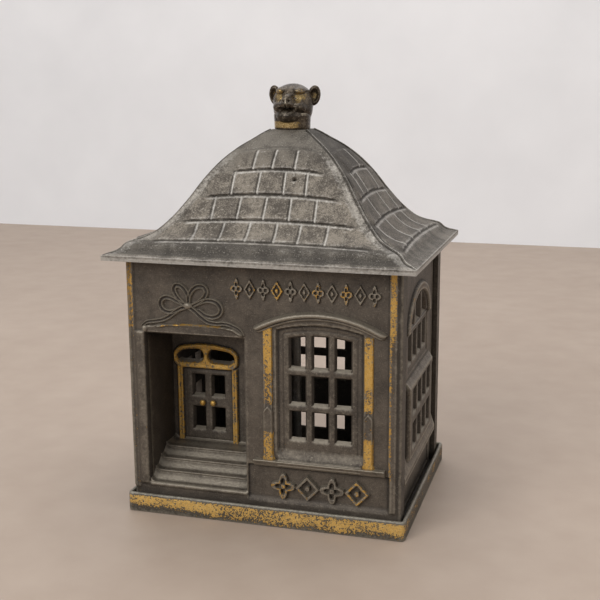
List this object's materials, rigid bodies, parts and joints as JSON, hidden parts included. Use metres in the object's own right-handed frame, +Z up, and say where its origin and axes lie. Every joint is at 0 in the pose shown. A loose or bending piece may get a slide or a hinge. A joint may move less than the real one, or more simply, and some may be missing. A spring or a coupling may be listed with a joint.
{
  "type": "still bank",
  "caption": "House-shaped cast iron coin bank: tray base, four walls, hollow bell roof with a coin slot, and an animal-head finial held by one tie screw.",
  "frame": {"origin": "under the middle of the base plate, on the surface it stands on", "axes": "+X to the right along the front, +Y from the front to the back, +Z up"},
  "size_m": [0.1054, 0.0886, 0.1473],
  "materials": {
    "base_iron": "worn gold paint over dark japanned iron",
    "wall_iron": "dark brown japanning, worn, with gold paint on the trim",
    "roof_iron": "worn grey-brown japanning, bare on the edges",
    "finial_iron": "dark glossy bronze lacquer with touches of gold",
    "screw_steel": "dull turned steel"
  },
  "bodies": {
    "house": {"base_plate": "base_iron", "front_wall": "wall_iron", "back_wall": "wall_iron", "left_wall": "wall_iron", "right_wall": "wall_iron"},
    "roof": {"roof": "roof_iron"},
    "finial": {"finial": "finial_iron"},
    "tie_screw": {"tie_screw": "screw_steel"}
  },
  "joints": [
    {"name": "roof_lift", "type": "slide", "parent": "house", "child": "roof", "axis": [0, 0, 1], "range_m": [0, 0.12]},
    {"name": "finial_turn", "type": "hinge", "parent": "roof", "child": "finial", "pos_m": [0, 0, 0.1313], "axis": [0, 0, 1], "continuous": true},
    {"name": "screw_turn", "type": "hinge", "parent": "house", "child": "tie_screw", "pos_m": [0, 0, 0.0029], "axis": [0, 0, 1], "continuous": true}
  ]
}
